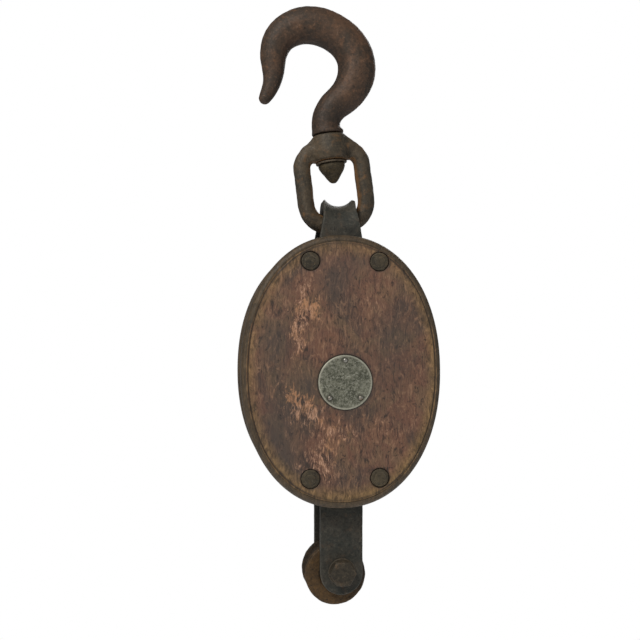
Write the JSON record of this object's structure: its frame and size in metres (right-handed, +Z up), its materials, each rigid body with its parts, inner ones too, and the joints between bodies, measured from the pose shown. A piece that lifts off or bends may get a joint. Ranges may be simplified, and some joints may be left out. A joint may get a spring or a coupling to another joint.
{
  "type": "wood-shell single sheave tackle block",
  "caption": "Oval wooden tackle block with an inside iron strap, a roller-bushed sheave, a swivel hook on an oval eye, and a becket spool below the shell",
  "frame": {"origin": "The hook's seat: the highest point inside the hook's bowl, where it bears on what it hangs from", "axes": "+Z up along the hanging block, +Y to the rear along the sheave pin, +X to the right seen from the front"},
  "size_m": [0.1534, 0.0843, 0.4762],
  "materials": {
    "shell_wood": "dark weathered hardwood, worn bare in patches, old varnish at the rim",
    "spacer_wood": "dark hardwood, dusty, end grain at the top and bottom",
    "hook_iron": "warm brown rusted forging, polished on the bearing faces",
    "eye_iron": "grey-brown rusted forging with orange rust inside",
    "strap_iron": "dark grey bar, lightly rusted",
    "rivet_iron": "dark oxidised rivet heads",
    "becket_iron": "brown rusted bolt, nut and washers",
    "spool_iron": "yellow-brown rusted casting",
    "plate_zinc": "dull grey-green galvanized plate with a bright edge",
    "nail_steel": "worn nail heads",
    "sheave_iron": "rusted casting, rope-polished groove",
    "bush_steel": "oiled steel",
    "roller_steel": "ground steel rollers, oiled"
  },
  "bodies": {
    "hook": {"hook": "hook_iron", "shank_washer": "eye_iron", "shank_nut": "hook_iron"},
    "eye": {"swivel_eye": "eye_iron"},
    "block": {"strap": "strap_iron", "front_cheek": "shell_wood", "rear_cheek": "shell_wood", "upper_spacer": "spacer_wood", "lower_spacer": "spacer_wood", "through_rivets": "rivet_iron", "rivet_burrs": "rivet_iron", "sheave_pin": "bush_steel", "front_pin_plate": "plate_zinc", "rear_pin_plate": "plate_zinc", "front_plate_nails": "nail_steel", "rear_plate_nails": "nail_steel", "becket_bolt": "becket_iron", "becket_washers": "becket_iron", "becket_nut": "becket_iron"},
    "sheave": {"sheave": "sheave_iron", "bush_case": "bush_steel", "front_bush_cover": "bush_steel", "rear_bush_cover": "bush_steel", "bush_rivets": "rivet_iron"},
    "roller_cage": {"front_cage_ring": "bush_steel", "rear_cage_ring": "bush_steel", "cage_stays": "bush_steel"},
    "spool": {"becket_spool": "spool_iron"},
    "roller_1": {"roller_1": "roller_steel"},
    "roller_2": {"roller_2": "roller_steel"},
    "roller_3": {"roller_3": "roller_steel"},
    "roller_4": {"roller_4": "roller_steel"},
    "roller_5": {"roller_5": "roller_steel"},
    "roller_6": {"roller_6": "roller_steel"}
  },
  "joints": [
    {"name": "hook_swivel", "type": "hinge", "parent": "hook", "child": "eye", "pos_m": [0.021, 0, -0.1173], "axis": [-0.1219, 0, 0.9925], "continuous": true},
    {"name": "eye_swing", "type": "hinge", "parent": "eye", "child": "block", "pos_m": [0.0234, 0, -0.1483], "axis": [1, 0, 0], "range_deg": [-60, 60]},
    {"name": "sheave_spin", "type": "hinge", "parent": "block", "child": "sheave", "pos_m": [0.0234, 0, -0.2715], "axis": [0, 1, 0], "continuous": true},
    {"name": "cage_roll", "type": "hinge", "parent": "block", "child": "roller_cage", "pos_m": [0.0234, 0, -0.2715], "axis": [0, 1, 0], "continuous": true},
    {"name": "spool_spin", "type": "hinge", "parent": "block", "child": "spool", "pos_m": [0.01965, 0, -0.42225], "axis": [0, 1, 0], "continuous": true},
    {"name": "roller_1_spin", "type": "hinge", "parent": "roller_cage", "child": "roller_1", "pos_m": [0.03539, 0, -0.2715], "axis": [0, 1, 0], "continuous": true},
    {"name": "roller_2_spin", "type": "hinge", "parent": "roller_cage", "child": "roller_2", "pos_m": [0.0294, 0, -0.26112], "axis": [0, 1, 0], "continuous": true},
    {"name": "roller_3_spin", "type": "hinge", "parent": "roller_cage", "child": "roller_3", "pos_m": [0.01741, 0, -0.26112], "axis": [0, 1, 0], "continuous": true},
    {"name": "roller_4_spin", "type": "hinge", "parent": "roller_cage", "child": "roller_4", "pos_m": [0.01141, 0, -0.2715], "axis": [0, 1, 0], "continuous": true},
    {"name": "roller_5_spin", "type": "hinge", "parent": "roller_cage", "child": "roller_5", "pos_m": [0.01741, 0, -0.28188], "axis": [0, 1, 0], "continuous": true},
    {"name": "roller_6_spin", "type": "hinge", "parent": "roller_cage", "child": "roller_6", "pos_m": [0.0294, 0, -0.28188], "axis": [0, 1, 0], "continuous": true}
  ],
  "couplings": [
    {"joint": "cage_roll", "follows": "sheave_spin", "ratio": 0.66681},
    {"joint": "roller_1_spin", "follows": "sheave_spin", "ratio": 1.3319},
    {"joint": "roller_2_spin", "follows": "sheave_spin", "ratio": 1.3319},
    {"joint": "roller_3_spin", "follows": "sheave_spin", "ratio": 1.3319},
    {"joint": "roller_4_spin", "follows": "sheave_spin", "ratio": 1.3319},
    {"joint": "roller_5_spin", "follows": "sheave_spin", "ratio": 1.3319},
    {"joint": "roller_6_spin", "follows": "sheave_spin", "ratio": 1.3319}
  ]
}
